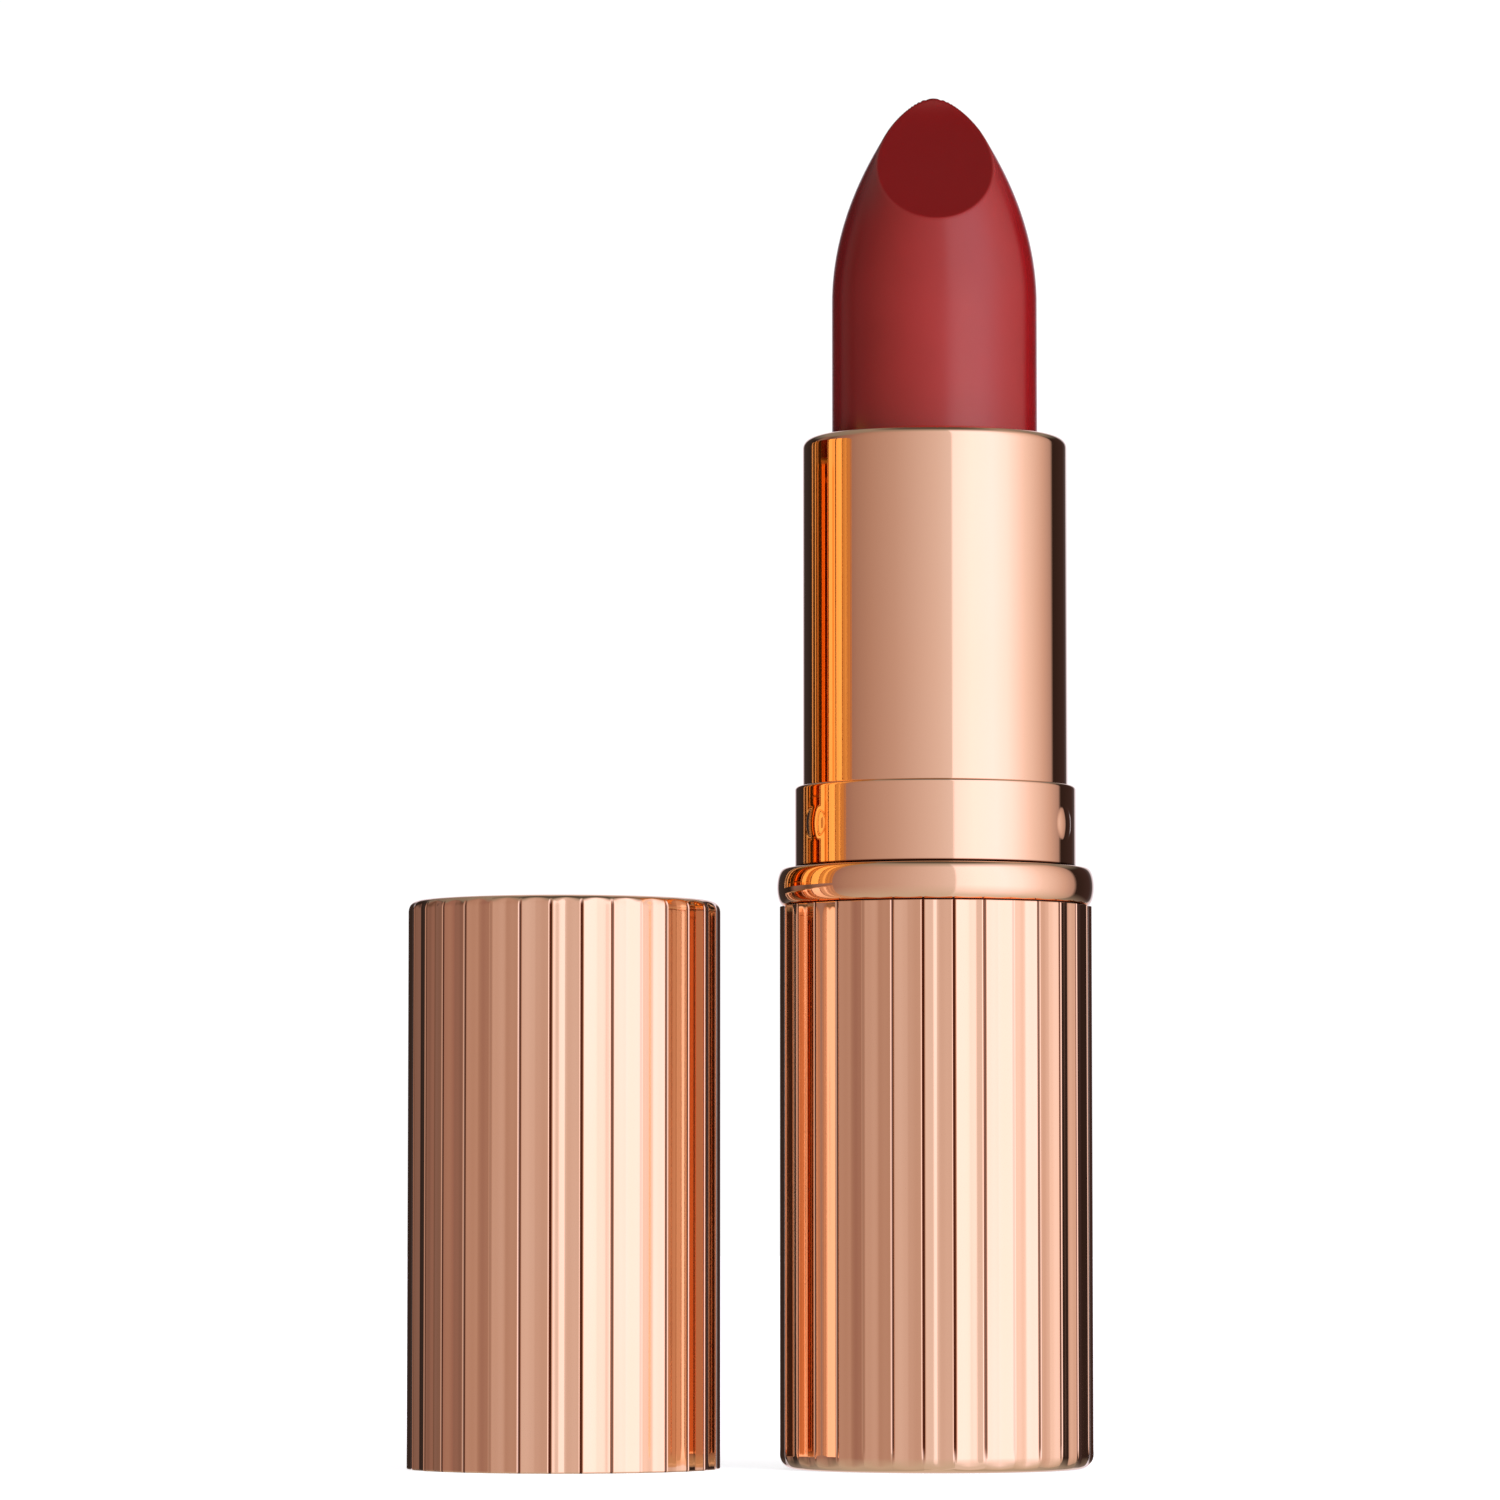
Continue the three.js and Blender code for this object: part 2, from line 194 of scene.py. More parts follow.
def turned_mesh(name, outline, closed=True, angles=None, relief=None):
    """A mesh turned about Z from an outline, which runs back to its start unless closed is False.

    relief(angle, radius, height) gives how far a point moves inwards, and how much painted shade it
    gets.
    """
    angles = angles or even_angles()
    vertices = []
    shades = []
    rings = []
    for radius, height in outline:
        if radius < SAME:
            rings.append([len(vertices)] * len(angles))
            vertices.append((0, 0, height * MM))
            shades.append(0.0)
            continue
        rings.append(list(range(len(vertices), len(vertices) + len(angles))))
        for angle in angles:
            inwards, shade = relief(angle, radius, height) if relief else (0.0, 0.0)
            reach = radius - inwards
            vertices.append((reach * math.sin(angle) * MM, -reach * math.cos(angle) * MM, height * MM))
            shades.append(shade)
    mesh = bpy.data.meshes.new(name)
    mesh.from_pydata(vertices, [], faces_between(rings, closed))
    mesh.polygons.foreach_set("use_smooth", [True] * len(mesh.polygons))
    mesh.attributes.new("shade", "FLOAT", "POINT").data.foreach_set("value", shades)
    mesh.update()
    return mesh


def faces_between(rings, closed):
    """The faces between neighbouring rings of vertices: triangles where a ring is one point."""
    pairs = list(zip(rings, rings[1:] + rings[:1]))
    if not closed:
        pairs.pop()
    faces = []
    for lower, upper in pairs:
        for i in range(len(lower)):
            j = (i + 1) % len(lower)
            corners = (lower[i], lower[j], upper[j], upper[i])
            face = [c for n, c in enumerate(corners) if c != corners[n - 1]]
            if len(face) > 2:
                faces.append(face)
    return faces


def mark_sharp_beyond(mesh, degrees):
    """Marks the edges that bend by more than that as sharp."""
    work = bmesh.new()
    work.from_mesh(mesh)
    limit = math.radians(degrees)
    for edge in work.edges:
        if len(edge.link_faces) == 2 and edge.calc_face_angle() > limit:
            edge.smooth = False
    work.to_mesh(mesh)
    work.free()


def move_along_x(mesh, distance):
    """Moves a mesh along X by a distance in millimetres."""
    mesh.transform(Matrix.Translation((distance * MM, 0, 0)))


def add_object(name, data):
    """A new object in the scene."""
    made = bpy.data.objects.new(name, data)
    bpy.context.scene.collection.objects.link(made)
    return made


def add_piece(mesh, body, node, material, axis=0.0):
    """Puts a piece, named like its mesh, on its upright axis, in place of a CAD node."""
    move_along_x(mesh, axis)
    mesh.materials.append(material)
    piece = add_object(mesh.name, mesh)
    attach(piece, body)
    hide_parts(node)


# ---- Flutes -------------------------------------------------------------------------------------

PITCH = 2 * math.pi / FLUTE_COUNT
CREASE_SHARE = CREASE_HALF_WIDTH / (PITCH * CASE_RADIUS)

# A point further out than the middle of a case's wall is on its outside.
WALL_MIDDLE = (CASE_RADIUS + CASE_BORE) / 2

# The start of a run that begins below every piece, and the end of one that ends above every piece.
BELOW_ALL = (-2, -1)
ABOVE_ALL = (99, 100)


def flute_angles(phase):
    """Angles around a fluted shell, close together at each flute's middle and at each crease.

    Within a flute they are shares of the pitch from its middle, and the ridges are half a pitch away.
    """
    near_middle = [0.0, 0.015, 0.03, 0.05, 0.08, 0.12, 0.16, 0.2, 0.24, 0.28, 0.32, 0.36]
    lead_in = 0.02
    steps = 7
    crease = [0.5 - CREASE_SHARE * (1 - i / steps) for i in range(steps + 1)]
    half = near_middle + [crease[0] - lead_in] + crease
    shares = [-s for s in reversed(half[1:-1])] + half
    return [
        (flute + share) * PITCH + math.radians(phase)
        for flute in range(FLUTE_COUNT)
        for share in shares
    ]


def facet_depth(turn):
    """Depth of a flute's flat facet at an angle from the flute's middle."""
    half = PITCH / 2
    valley = 1 / (CASE_RADIUS - FLUTE_DEPTH)
    across = (1 / CASE_RADIUS - valley * math.cos(half)) / math.sin(half)
    return CASE_RADIUS - 1 / (valley * math.cos(turn) + across * math.sin(turn))


def softened(share):
    """The distance from a flute's middle, as a share of the pitch, with the V's point rounded off."""
    overshoot = math.hypot(0.5, VALLEY_SOFTNESS) - 0.5
    return math.hypot(share, VALLEY_SOFTNESS) - overshoot


def wave(flute, share):
    """The slight unevenness of drawn metal across a flute, different from flute to flute."""
    ripple = math.cos(2 * math.pi * (WAVES_PER_FLUTE * share + WAVE_SHIFT * flute))
    return WAVE_DEPTH * ripple * math.cos(math.pi * share) ** 2


def crease_number(flutes):
    """The number of the crease near an angle given in flutes, below 0 to the left of the front."""
    half = FLUTE_COUNT // 2
    return (math.floor(flutes) + half) % FLUTE_COUNT - half


def crease_strength(crease):
    """How deep a crease is, and how dark its painted shade, as a share of the most."""
    near_faint = (1 + math.cos(2 * math.pi * (crease - FIRST_FAINT) / FAINT_EVERY)) / 2
    return 1 - FAINTNESS * near_faint**4


def fullness(run, height):
    """How full a run is at a height: 0 outside it, 1 where it is full."""
    begins, full, fades, ends = run
    return smoothstep(begins, full, height) * (1 - smoothstep(fades, ends, height))


def flute_relief(phase, valley_run, crease_run, on_outside):
    """The relief of shallow V flutes, with a fine crease between them, which run out at both ends. Each
    crease also gets painted shade.

    Each run is four heights: where it begins, where it is full, where it starts to fade, where it ends.
    on_outside(radius, height) says whether a point of the outline has flutes.
    """

    def relief(angle, radius, height):
        if not on_outside(radius, height):
            return 0.0, 0.0
        flutes = (angle - math.radians(phase)) / PITCH
        flute = math.floor(flutes + 0.5)
        share = abs(flutes - flute)
        facet = facet_depth(softened(share) * PITCH) + wave(flute % FLUTE_COUNT, flutes - flute)
        depth = facet * fullness(valley_run, height)
        from_crease = (0.5 - share) / CREASE_SHARE
        if from_crease >= 1:
            return depth, 0.0
        section = (1 + math.cos(math.pi * from_crease)) / 2
        strength = crease_strength(crease_number(flutes)) * fullness(crease_run, height)
        # The second value is painted shade, dark in the crease's deeper part.
        return depth + CREASE_DEPTH * section * strength, smoothstep(*CREASE_DARK, section) * strength

    return relief


# ---- Materials ----------------------------------------------------------------------------------

# A colour mix node's two colours are these inputs, and the mixed colour is this output.
MIX_FIRST = 6
MIX_SECOND = 7
MIX_RESULT = 2


def feed(tree, socket, value):
    """Gives an input a value, or links it to another socket."""
    if isinstance(value, bpy.types.NodeSocket):
        tree.links.new(value, socket)
    else:
        socket.default_value = value


def add_node(tree, kind, inputs=None, **settings):
    """Adds a node, with its settings, and its inputs by name or number as values or linked sockets."""
    made = tree.nodes.new(kind)
    for key, value in settings.items():
        setattr(made, key, value)
    for key, value in (inputs or {}).items():
        feed(tree, made.inputs[key], value)
    return made


def set_inputs(tree, shader, **inputs):
    """Sets or links a shader's inputs, named with _ for a space."""
    for key, value in inputs.items():
        feed(tree, shader.inputs[key.replace("_", " ")], value)


def new_material(name):
    """A material with one Principled shader, its tree, and object coordinates."""
    material = bpy.data.materials.new(name)
    material.use_nodes = True
    tree = material.node_tree
    shader = next(n for n in tree.nodes if n.type == "BSDF_PRINCIPLED")
    place = add_node(tree, "ShaderNodeTexCoord").outputs["Object"]
    return material, tree, shader, place


def noise(tree, place, scale, detail=3, frequency=(1, 1, 1)):
    """A noise value. A frequency under 1 along an axis draws the pattern out along it."""
    mapping = add_node(tree, "ShaderNodeMapping", {"Vector": place, "Scale": frequency})
    inputs = {"Vector": mapping.outputs["Vector"], "Scale": scale, "Detail": detail}
    return add_node(tree, "ShaderNodeTexNoise", inputs).outputs["Fac"]


def between(tree, factor, low, high, from_min=0.25, from_max=0.75, curve="SMOOTHSTEP"):
    """A value that goes from low to high as the factor goes from from_min to from_max."""
    inputs = {"Value": factor, "From Min": from_min, "From Max": from_max, "To Min": low, "To Max": high}
    return add_node(tree, "ShaderNodeMapRange", inputs, interpolation_type=curve).outputs["Result"]


def solid(colour):
    """An RGB colour with full alpha, or a socket as it is."""
    return colour if isinstance(colour, bpy.types.NodeSocket) else (*colour, 1)


def mixed(tree, factor, first, second, blend="MIX"):
    """A colour mixed from two, each an RGB colour or a socket, by a factor."""
    inputs = {"Factor": factor, MIX_FIRST: solid(first), MIX_SECOND: solid(second)}
    mix = add_node(tree, "ShaderNodeMix", inputs, data_type="RGBA", blend_type=blend)
    return mix.outputs[MIX_RESULT]


def darker_in_shade(tree, colour, dark):
    """The colour, turned into a dark one as far as the mesh's painted shade attribute says."""
    shade = add_node(tree, "ShaderNodeAttribute", attribute_name="shade").outputs["Fac"]
    return mixed(tree, shade, colour, dark)


def bump(tree, height, strength, distance, onto=None):
    """A bump normal, on top of another one if given."""
    inputs = {"Height": height, "Strength": strength, "Distance": distance}
    if onto is not None:
        inputs["Normal"] = onto
    return add_node(tree, "ShaderNodeBump", inputs).outputs["Normal"]


def rose_gold(name, clean, hazy):
    """Polished gold metal of a colour, with faint upright drawing lines, haze, and painted shade in the
    creases and the joint.
    """
    material, tree, shader, place = new_material(name)
    haze = noise(tree, place, scale=90, detail=4)
    smears = noise(tree, place, scale=300, frequency=(1, 1, 0.3))
    drawn = noise(tree, place, scale=2200, detail=2, frequency=(1, 1, 0.012))
    hairline = noise(tree, place, scale=5200, detail=2, frequency=(0.05, 1, 1))
    gold = mixed(tree, between(tree, haze, 0, 1), clean, hazy)
    wear = add_node(tree, "ShaderNodeMath", {0: haze, 1: smears}, operation="MULTIPLY").outputs[0]
    drawn_normal = bump(tree, drawn, strength=0.06, distance=0.02 * MM)
    # A dark brown painted in as shade, into the creases and along the joint under the sleeve's band.
    painted_shade_brown = (0.10, 0.022, 0.008)
    set_inputs(
        tree, shader,
        Base_Color=darker_in_shade(tree, gold, painted_shade_brown),
        Metallic=1.0,
        Roughness=between(tree, wear, 0.03, 0.08, from_min=0.15, from_max=0.4),
        Normal=bump(tree, hairline, strength=0.015, distance=0.01 * MM, onto=drawn_normal),
    )
    return material


def lipstick_wax():
    """Satin red wax, slightly translucent, with a moulded skin."""
    material, tree, shader, place = new_material("lipstick_wax")
    cloudy = noise(tree, place, scale=160, detail=4)
    grain = noise(tree, place, scale=1500)
    skin = mixed(tree, between(tree, cloudy, 0, 1), (0.142, 0.0015, 0.003), (0.162, 0.002, 0.004))
    # A deeper red painted on the slanted face as shade, as far as the shade attribute says.
    painted_face_shade = (0.112, 0.001, 0.002)
    set_inputs(
        tree, shader,
        Base_Color=darker_in_shade(tree, skin, painted_face_shade),
        Roughness=between(tree, cloudy, 0.20, 0.25),
        Subsurface_Weight=0.1,
        Subsurface_Radius=(1.0, 0.12, 0.08),
        Subsurface_Scale=1 * MM,
        Specular_IOR_Level=0.75,
        Specular_Tint=(1.0, 1.0, 0.78, 1),
        Normal=bump(tree, grain, strength=0.03, distance=0.04 * MM),
    )
    return material


def moulded_plastic(name, dark, light, roughness):
    """Fine matt moulded plastic or rubber."""
    material, tree, shader, place = new_material(name)
    unevenness = 0.06
    spark = noise(tree, place, scale=3500, detail=2)
    flow = noise(tree, place, scale=120)
    set_inputs(
        tree, shader,
        Base_Color=mixed(tree, between(tree, flow, 0, 1), dark, light),
        Roughness=between(tree, flow, roughness - unevenness, roughness + unevenness),
        Normal=bump(tree, spark, strength=0.15, distance=0.05 * MM),
    )
    return material


def turned_steel():
    """Plated steel with fine turning rings."""
    material, tree, shader, place = new_material("turned_steel")
    rings = add_node(
        tree, "ShaderNodeTexWave", {"Vector": place, "Scale": 900.0, "Distortion": 0.6},
        wave_type="RINGS", rings_direction="Z",
    ).outputs["Fac"]
    stain = noise(tree, place, scale=200)
    set_inputs(
        tree, shader,
        Base_Color=mixed(tree, between(tree, stain, 0, 1), (0.52, 0.53, 0.55), (0.62, 0.62, 0.62)),
        Metallic=1.0,
        Roughness=between(tree, stain, 0.25, 0.4),
        Normal=bump(tree, rings, strength=0.1, distance=0.05 * MM),
    )
    return material


def label_paper():
    """Coated paper with a soft tooth."""
    material, tree, shader, place = new_material("label_paper")
    fibres = noise(tree, place, scale=2500, detail=4, frequency=(1, 0.4, 1))
    set_inputs(
        tree, shader,
        Base_Color=mixed(tree, between(tree, fibres, 0, 1), (0.76, 0.63, 0.57), (0.82, 0.7, 0.64)),
        Roughness=between(tree, fibres, 0.5, 0.65),
        Normal=bump(tree, fibres, strength=0.12, distance=0.03 * MM),
    )
    return material


# ---- Pieces of the base -------------------------------------------------------------------------


def build_base_shell(material):
    """The fluted base, with a round foot, and under it the recess for the label."""
    recess_radius = 7.65
    recess = BASE_BOTTOM + 0.25
    floor = BASE_BOTTOM + 0.6
    foot_rounding = 0.9
    foot_edge = CASE_RADIUS - foot_rounding - 0.1
    rows_above_foot = [1.2, 1.35, 1.5, 1.8, 2.2]
    outline = rounded(
        [
            (0, recess, 0),
            (recess_radius, recess, 0.06),
            (recess_radius, BASE_BOTTOM, 0.06),
            (CASE_RADIUS, BASE_BOTTOM, foot_rounding),
            (CASE_RADIUS, BASE_TOP, 0.05),
            (CASE_BORE, BASE_TOP, 0.03),
            (CASE_BORE, floor, 0.2),
            (0, floor, 0),
        ],
        steps=9,
        closed=False,
    )
    outline = with_rows(outline, CASE_RADIUS, rows_above_foot)

    def on_outside(radius, height):
        return radius > WALL_MIDDLE or (radius > foot_edge and height < floor - 0.05)

    relief = flute_relief(
        BASE_PHASE,
        valley_run=(0.12, 0.62, *ABOVE_ALL),
        crease_run=(0.35, 1.6, *ABOVE_ALL),
        on_outside=on_outside,
    )
    angles = flute_angles(BASE_PHASE)
    mesh = turned_mesh("base_shell_fine", outline, closed=False, angles=angles, relief=relief)
    add_piece(mesh, body="base", node="base_shell", material=material)


def build_collar_ring(material):
    """The plain bulged ring. It leaves hairlines to its neighbours, where the CAD has wider gaps."""
    bore = 8.25
    bulge = 0.4
    end_radius = RING_RADIUS - bulge
    flat_radius = end_radius - 0.05
    bottom = RING_BOTTOM - 0.09
    top = RING_TOP + 0.12
    middle = (top + bottom) / 2
    half_height = (top - bottom) / 2
    steps = 28
    barrel = []
    for i in range(steps + 1):
        slope = math.radians(-90 + 180 * i / steps)
        height = middle + half_height * math.sin(slope)
        barrel.append(Vector((end_radius + bulge * math.cos(slope), height)))
    inner_bottom = [Vector((bore, bottom)), Vector((flat_radius, bottom))]
    inner_top = [Vector((flat_radius, top)), Vector((bore, top))]
    mesh = turned_mesh("collar_ring_fine", inner_bottom + barrel + inner_top)
    mark_sharp_beyond(mesh, degrees=60)
    add_piece(mesh, body="base", node="collar_ring", material=material)


# ---- Pieces of the turning sleeve ---------------------------------------------------------------


def build_sleeve_shell(material):
    """The smooth sleeve, with a wider band at its foot and a turned-in lip at the top."""
    band_bore = BAND_RADIUS - 0.4
    bore = SLEEVE_RADIUS - 0.35
    lip_bottom = SLEEVE_TOP - 0.4
    shoulder = BAND_TOP - 0.4
    outline = rounded(
        [
            (band_bore, SLEEVE_BOTTOM, 0.05),
            (BAND_RADIUS, SLEEVE_BOTTOM, 0.12),
            (BAND_RADIUS, BAND_TOP, 0.2),
            (SLEEVE_RADIUS, BAND_TOP, 0.05),
            (SLEEVE_RADIUS, SLEEVE_TOP, 0.55),
            (LIP_RADIUS, SLEEVE_TOP, 0.12),
            (LIP_RADIUS, lip_bottom, 0.1),
            (bore, lip_bottom, 0.1),
            (bore, shoulder, 0.1),
            (band_bore, shoulder, 0.1),
        ],
        steps=8,
    )
    outline = with_rows(outline, BAND_RADIUS, bump_rows())
    mesh = turned_mesh("sleeve_shell_fine", outline, angles=bump_angles(), relief=sleeve_relief)
    add_piece(mesh, body="turning_sleeve", node="sleeve_shell", material=material)


def bump_rows():
    """Heights across the pressed bumps, and just past them."""
    steps = 9
    return [BUMP_HEIGHT + BUMP_RADIUS * i / steps for i in range(-steps - 1, steps + 2)]


def bump_angles():
    """Even angles around the sleeve, with more of them across each pressed bump, and just past it."""
    steps = 10
    half_bump = BUMP_RADIUS / BAND_RADIUS
    fine = [
        (math.radians(azimuth) + 1.1 * half_bump * i / steps) % (2 * math.pi)
        for azimuth in BUMP_AZIMUTHS
        for i in range(-steps, steps + 1)
    ]
    clear = 0.6 * half_bump / steps
    kept = [a for a in even_angles() if all(abs(a - b) > clear for b in fine)]
    return sorted(kept + fine)


def sleeve_relief(angle, radius, height):
    """The three pressed bumps on the band, and painted shade along the joint at its lower edge."""
    # Painted shade along the band's lower edge, where the gap to the ring lies in shadow.
    shade = 1 - smoothstep(*JOINT_DARK, height - SLEEVE_BOTTOM)
    if abs(radius - BAND_RADIUS) > SAME:
        return 0.0, shade
    rise = 0.0
    for azimuth in BUMP_AZIMUTHS:
        turn = (angle - math.radians(azimuth) + math.pi) % (2 * math.pi) - math.pi
        distance = math.hypot(turn * BAND_RADIUS, height - BUMP_HEIGHT) / BUMP_RADIUS
        if distance < 1:
            rise = max(rise, BUMP_RISE * (1 - distance**2))
    return -rise, shade


# ---- Bullet -------------------------------------------------------------------------------------

SHOULDER = TIP_HEIGHT - NOSE_LENGTH


def nose_outline():
    """The uncut nose: it curves in, then runs straight to its apex, as a cone."""
    curve_steps = 60
    cone_steps = 44
    cone_slope = 2 * BULLET_RADIUS * NOSE_CURVE / NOSE_REACH**2
    cone_radius = BULLET_RADIUS * (1 - (NOSE_CURVE / NOSE_REACH) ** 2)
    nose = []
    for i in range(curve_steps + 1):
        rise = NOSE_CURVE * i / curve_steps
        nose.append(Vector((BULLET_RADIUS * (1 - (rise / NOSE_REACH) ** 2), SHOULDER + rise)))
    for i in range(1, cone_steps + 1):
        radius = cone_radius * (1 - i / cone_steps)
        height = SHOULDER + NOSE_CURVE + (cone_radius - radius) / cone_slope
        nose.append(Vector((radius, height)))
    return nose


def face_height(depth):
    """Height of the slanted face at a depth behind the axis: straight, and steeper close to the tip.

    Behind the tip it turns up, clear of the wax.
    """
    clear_slope = 3
    forward = TIP_DEPTH - depth
    if forward < 0:
        return TIP_HEIGHT - clear_slope * forward
    return TIP_HEIGHT - FACE_SLOPE * forward - TIP_LIFT * (1 - math.exp(-forward / TIP_RUN))


def smooth_min(first, second, rounding):
    """The lower of two heights, rounded where they meet."""
    overlap = max(rounding - abs(first - second), 0) / rounding
    return min(first, second) - overlap * overlap * rounding / 4


def cut_slanted_face(mesh):
    """Lowers the nose to its slanted face, with a slightly rounded edge, and paints shade on the face.
    """
    edge_rounding = 0.10
    shades = mesh.attributes["shade"].data
    for vertex in mesh.vertices:
        height = vertex.co.z / MM
        if height > SHOULDER:
            face = face_height(vertex.co.y / MM)
            shades[vertex.index].value = smoothstep(*FACE_DARK, height - face)
            vertex.co.z = smooth_min(height, face, edge_rounding) * MM
    mesh.update()


def build_bullet(material):
    """The bullet, with its root inside the cup."""
    root_radius = CUP_RADIUS - 0.5
    root_bottom = CUP_BOTTOM + 0.85
    body_bottom = CUP_TOP + 0.05
    lower = rounded(
        [
            (0, root_bottom, 0),
            (root_radius, root_bottom, 0.1),
            (root_radius, body_bottom, 0.1),
            (BULLET_RADIUS, body_bottom, 0.2),
            (BULLET_RADIUS, SHOULDER, 0),
        ],
        closed=False,
    )
    mesh = turned_mesh("bullet_fine", lower[:-1] + nose_outline(), closed=False)
    cut_slanted_face(mesh)
    add_piece(mesh, body="carrier", node="bullet", material=material)


# ---- Cap ----------------------------------------------------------------------------------------


def build_cap_shell(material):
    """The fluted cap, mouth down, with a rounded top edge."""
    ceiling = CAP_TOP - 0.5
    edge_rounding = 0.65
    top_edge = CASE_RADIUS - edge_rounding - 0.1
    rows_below_edge = [CAP_TOP - 2.0, CAP_TOP - 1.5, CAP_TOP - 1.2]
    outline = rounded(
        [
            (0, ceiling, 0),
            (CASE_BORE, ceiling, 0.1),
            (CASE_BORE, CAP_BOTTOM, 0.06),
            (CASE_RADIUS, CAP_BOTTOM, 0.12),
            (CASE_RADIUS, CAP_TOP, edge_rounding),
            (0, CAP_TOP, 0),
        ],
        steps=12,
        closed=False,
    )
    outline = with_rows(outline, CASE_RADIUS, rows_below_edge)

    def on_outside(radius, height):
        return radius > WALL_MIDDLE or (radius > top_edge and height > ceiling + 0.05)

    relief = flute_relief(
        CAP_PHASE,
        valley_run=(*BELOW_ALL, CAP_TOP - 0.42, CAP_TOP - 0.06),
        crease_run=(*BELOW_ALL, CAP_TOP - 0.6, CAP_TOP - 0.15),
        on_outside=on_outside,
    )
    angles = flute_angles(CAP_PHASE)
    mesh = turned_mesh("cap_shell_fine", outline, closed=False, angles=angles, relief=relief)
    add_piece(mesh, body="cap", node="cap_shell", material=material, axis=CAP_AXIS)


def build_cap_liner(material):
    """The cap's lining: a wide mouth for the band, with the bead that snaps past its bumps."""
    mouth = CAP_BOTTOM + 0.4
    outer_radius = CASE_BORE - 0.05
    band_bore = 8.42
    band_bore_top = 5.05
    bead_bore = 8.32
    bead_height = 1.5
    bead_half = 0.4
    sleeve_bore = 7.95
    ceiling = 29
    top = 29.8
    outline = rounded(
        [
            (0, ceiling, 0),
            (sleeve_bore, ceiling, 0.5),
            (sleeve_bore, band_bore_top, 0.1),
            (band_bore, band_bore_top - 0.3, 0.1),
            (band_bore, bead_height + bead_half, 0.1),
            (bead_bore, bead_height, 0.2),
            (band_bore, bead_height - bead_half, 0.1),
            (band_bore, mouth, 0.1),
            (outer_radius, mouth, 0.05),
            (outer_radius, top, 0.3),
            (0, top, 0),
        ],
        closed=False,
    )
    mesh = turned_mesh("cap_liner_fine", outline, closed=False)
    add_piece(mesh, body="cap", node="cap_liner", material=material, axis=CAP_AXIS)


# ---- Studio -------------------------------------------------------------------------------------

# What the metal reflects around the horizon: azimuth in degrees from the front towards the right, and
# the light's colour there. The large soft light is on the right, a dim card on the left, and black
# flags stand behind on both sides.
STUDIO = (
    (-180, (0.90, 0.84, 0.97)),
    (-170, (0.80, 0.74, 0.82)),
    (-164, (0.05, 0.04, 0.04)),
    (-134, (0.025, 0.018, 0.018)),
    (-126, (0.25, 0.17, 0.17)),
    (-116, (0.22, 0.15, 0.14)),
    (-108, (0.14, 0.09, 0.08)),
    (-98, (0.29, 0.19, 0.19)),
    (-84, (0.34, 0.21, 0.21)),
    (-72, (0.42, 0.29, 0.28)),
    (-60, (0.48, 0.345, 0.34)),
    (-36, (0.58, 0.455, 0.475)),
    (0, (0.77, 0.69, 0.79)),
    (12.9, (0.84, 0.80, 0.95)),
    (13.7, (1.30, 1.26, 1.62)),
    (30, (1.45, 1.41, 1.84)),
    (50, (1.45, 1.43, 1.94)),
    (64, (1.35, 1.31, 1.71)),
    (84, (1.00, 0.91, 1.06)),
    (107, (0.69, 0.55, 0.58)),
    (119.5, (0.46, 0.35, 0.37)),
    (123.5, (0.03, 0.02, 0.02)),
    (150, (0.05, 0.03, 0.03)),
    (159, (0.09, 0.08, 0.09)),
    (165, (0.80, 0.76, 0.86)),
    (180, (0.90, 0.84, 0.97)),
)

# Greys by elevation in degrees: a glow over the horizon's light, the light that takes over towards the
# table and the ceiling, and how much it takes over.
GLOW_LEVELS = ((20, 0), (34, 0.26))
END_LEVELS = ((-10, 0.60), (10, 0.30), (60, 0.34), (76, 0.10))
END_SHARES = ((-50, 0.8), (-9, 0), (38, 0), (66, 1))

# The white behind the object, as the camera sees it.
BACKDROP = 1.05

# The camera stands this far in front of the axes and above the table, and looks at a point between
# the base and the cap.
CAMERA_DISTANCE = 400
CAMERA_HEIGHT = 13.2
AIM_HEIGHT = 42.1
FOCAL_LENGTH = 163.5


def build_world():
    """A soft studio by direction, which the camera itself sees as plain white."""
    world = bpy.data.worlds.new("studio")
    bpy.context.scene.world = world
    world.use_nodes = True
    tree = world.node_tree
    tree.nodes.clear()
    studio = add_node(tree, "ShaderNodeBackground", {"Color": studio_colour(tree), "Strength": 1.0})
    plain = add_node(tree, "ShaderNodeBackground", {"Color": (1, 1, 1, 1), "Strength": BACKDROP})
    to_camera = add_node(tree, "ShaderNodeLightPath").outputs["Is Camera Ray"]
    choice = {0: to_camera, 1: studio.outputs[0], 2: plain.outputs[0]}
    seen = add_node(tree, "ShaderNodeMixShader", choice)
    add_node(tree, "ShaderNodeOutputWorld", {"Surface": seen.outputs[0]})


def studio_colour(tree):
    """The studio's light from a direction: by azimuth around the horizon, and by elevation beyond it."""
    direction = add_node(tree, "ShaderNodeTexCoord").outputs["Generated"]
    part = add_node(tree, "ShaderNodeSeparateXYZ", {"Vector": direction}).outputs
    front = add_node(tree, "ShaderNodeMath", {0: part["Y"], 1: -1.0}, operation="MULTIPLY").outputs[0]
    azimuth = add_node(tree, "ShaderNodeMath", {0: part["X"], 1: front}, operation="ARCTAN2").outputs[0]
    share = between(tree, azimuth, 0, 1, -math.pi, math.pi, "LINEAR")
    height = between(tree, part["Z"], 0, 1, -1, 1, "LINEAR")
    around = colour_ramp(tree, share, [((degrees + 180) / 360, colour) for degrees, colour in STUDIO])
    glow = mixed(tree, 1.0, around, grey_ramp(tree, height, GLOW_LEVELS), "LIGHTEN")
    ends = grey_ramp(tree, height, END_LEVELS)
    return mixed(tree, grey_ramp(tree, height, END_SHARES), glow, ends)


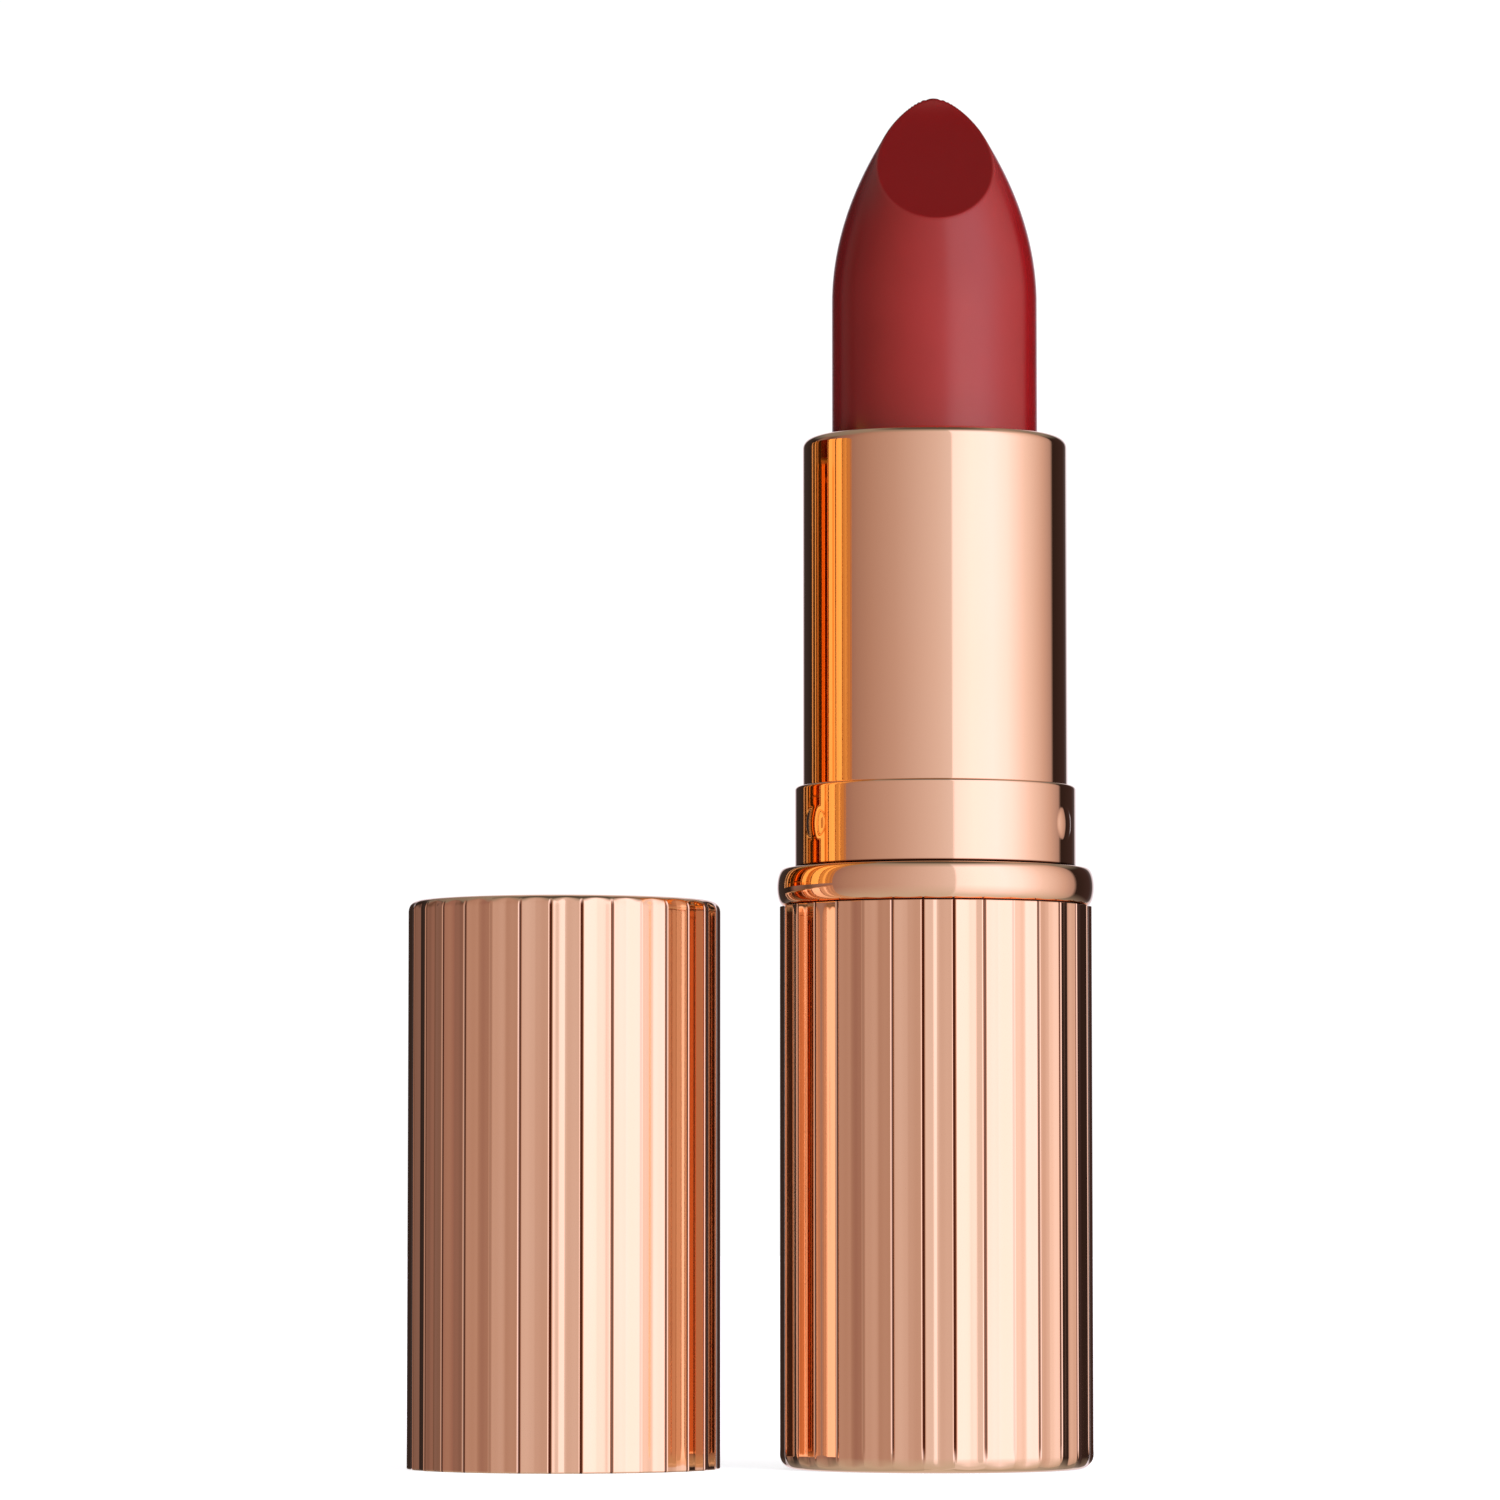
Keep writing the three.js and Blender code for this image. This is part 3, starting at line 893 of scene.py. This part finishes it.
def grey_ramp(tree, height, levels):
    """A ramp of greys given by elevation in degrees, along the height of a direction."""
    stops = []
    for elevation, grey in levels:
        position = (math.sin(math.radians(elevation)) + 1) / 2
        stops.append((position, (grey, grey, grey)))
    return colour_ramp(tree, height, stops)


def colour_ramp(tree, factor, stops):
    """A ramp of (position, colour) stops."""
    ramp = add_node(tree, "ShaderNodeValToRGB", {"Fac": factor})
    elements = ramp.color_ramp.elements
    while len(elements) > 1:
        elements.remove(elements[-1])
    for i, (position, colour) in enumerate(stops):
        element = elements.new(position) if i > 0 else elements[0]
        element.position = position
        element.color = (*colour, 1)
    return ramp.outputs["Color"]


def flat_card(name, corners, material):
    """A rectangle of one material, with its corners in millimetres."""
    mesh = bpy.data.meshes.new(name)
    mesh.from_pydata([Vector(corner) * MM for corner in corners], [], [(0, 1, 2, 3)])
    mesh.materials.append(material)
    return add_object(name, mesh)


def build_floor():
    """A plain pale floor, which the mirror-bright metal doesn't reflect."""
    material, tree, shader, place = new_material("pale_floor")
    mottle = noise(tree, place, scale=40, detail=2)
    set_inputs(
        tree, shader,
        Base_Color=mixed(tree, mottle, (0.80, 0.80, 0.80), (0.82, 0.82, 0.82)),
        Roughness=0.9,
        Emission_Color=(1, 1, 1, 1),
        Emission_Strength=0.80,
    )
    half = 6000
    corners = [(-half, -half, 0), (half, -half, 0), (half, half, 0), (-half, half, 0)]
    floor = flat_card("floor", corners, material)
    floor.visible_glossy = False


def clear_from_behind(material):
    """A copy of a material that only shows from the front of its faces."""
    copy = material.copy()
    tree = copy.node_tree
    output = next(n for n in tree.nodes if n.type == "OUTPUT_MATERIAL")
    front = output.inputs["Surface"].links[0].from_socket
    clear = add_node(tree, "ShaderNodeBsdfTransparent").outputs[0]
    behind = add_node(tree, "ShaderNodeNewGeometry").outputs["Backfacing"]
    seen = add_node(tree, "ShaderNodeMixShader", {0: behind, 1: front, 2: clear})
    tree.links.new(seen.outputs[0], output.inputs["Surface"])
    return copy


def build_reflector(material):
    """A fluted gold tube above the cap, seen only in reflections, like a taller case beside this one."""
    radius = CASE_RADIUS - 0.1
    bottom = CAP_TOP + 0.8
    length = 28
    outline = [Vector((radius, bottom)), Vector((radius, bottom + length))]
    relief = flute_relief(
        CAP_PHASE,
        valley_run=(*BELOW_ALL, *ABOVE_ALL),
        crease_run=(*BELOW_ALL, *ABOVE_ALL),
        on_outside=lambda radius, height: True,
    )
    mesh = turned_mesh("reflector", outline, closed=False, angles=flute_angles(CAP_PHASE), relief=relief)
    move_along_x(mesh, CAP_AXIS)
    mesh.materials.append(clear_from_behind(material))
    tube = add_object("reflector", mesh)
    tube.visible_camera = False
    tube.visible_diffuse = False
    tube.visible_shadow = False


def build_wax_flag():
    """A black card on the right, which shades that side of the wax and shows in no reflection."""
    material, tree, shader, _ = new_material("black_card")
    set_inputs(tree, shader, Base_Color=(0.01, 0.01, 0.01, 1), Roughness=1.0, Specular_IOR_Level=0.0)
    away = 45
    front = -24
    back = 36
    low = 38
    high = 110
    corners = [(away, front, low), (away, back, low), (away, back, high), (away, front, high)]
    flag = flat_card("wax_flag", corners, material)
    flag.visible_camera = False
    flag.visible_glossy = False


def aim(thing, place, target):
    """Puts a camera or a lamp at a place, looking at a target, both in millimetres."""
    thing.location = Vector(place) * MM
    thing.rotation_euler = (Vector(target) * MM - thing.location).to_track_quat("-Z", "Y").to_euler()


def build_key_light():
    """A soft light from the right, in front, for the wax and the plastics."""
    height = 60
    light = bpy.data.lights.new("key", "AREA")
    light.shape = "RECTANGLE"
    light.size = 350 * MM
    light.size_y = 100 * MM
    light.energy = 5.2
    lamp = add_object("key", light)
    aim(lamp, (360, -400, height), (0, 0, height))
    lamp.visible_camera = False
    lamp.visible_glossy = False


def build_camera():
    """A long lens, a little above the table, looking slightly up at both pieces."""
    camera = bpy.data.cameras.new("camera")
    camera.sensor_width = 36
    camera.lens = FOCAL_LENGTH
    camera.clip_start = 0.01
    camera.clip_end = 50
    seat = add_object("camera", camera)
    middle = CAP_AXIS / 2
    aim(seat, (middle, -CAMERA_DISTANCE, CAMERA_HEIGHT), (middle, 0, AIM_HEIGHT))
    bpy.context.scene.camera = seat


def set_look():
    """Colours as they are, enough bounces for mirror-bright metal, and no caustics."""
    scene = bpy.context.scene
    scene.view_settings.view_transform = "Standard"
    scene.cycles.max_bounces = 10
    scene.cycles.glossy_bounces = 8
    scene.cycles.caustics_reflective = False
    scene.cycles.caustics_refractive = False


# ---- Everything ---------------------------------------------------------------------------------


def dress_cad_nodes(materials):
    """Gives each CAD node that still shows its material."""
    for node, material in materials.items():
        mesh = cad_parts[node].data
        mesh.materials.clear()
        mesh.materials.append(material)


set_look()
build_camera()
build_world()
build_floor()
build_wax_flag()
build_key_light()

metal = rose_gold("rose_gold_metal", clean=(0.955, 0.595, 0.36), hazy=(0.945, 0.605, 0.375))
build_reflector(rose_gold("reflector_gold", clean=(0.955, 0.48, 0.10), hazy=(0.945, 0.49, 0.11)))
wax = lipstick_wax()
black = moulded_plastic("black_plastic", (0.018, 0.018, 0.02), (0.026, 0.026, 0.028), roughness=0.5)
white = moulded_plastic("white_plastic", (0.74, 0.72, 0.68), (0.8, 0.78, 0.74), roughness=0.42)
rubber = moulded_plastic("brake_rubber", (0.03, 0.03, 0.03), (0.04, 0.04, 0.04), roughness=0.75)

build_base_shell(metal)
build_collar_ring(metal)
build_sleeve_shell(metal)
build_bullet(wax)
build_cap_shell(metal)
build_cap_liner(black)
dress_cad_nodes(
    {
        "base_insert": black,
        "base_weight": turned_steel(),
        "shade_label": label_paper(),
        "guide_sleeve": white,
        "brake_ring": rubber,
        "cam_sleeve": black,
        "bullet_cup": white,
    }
)
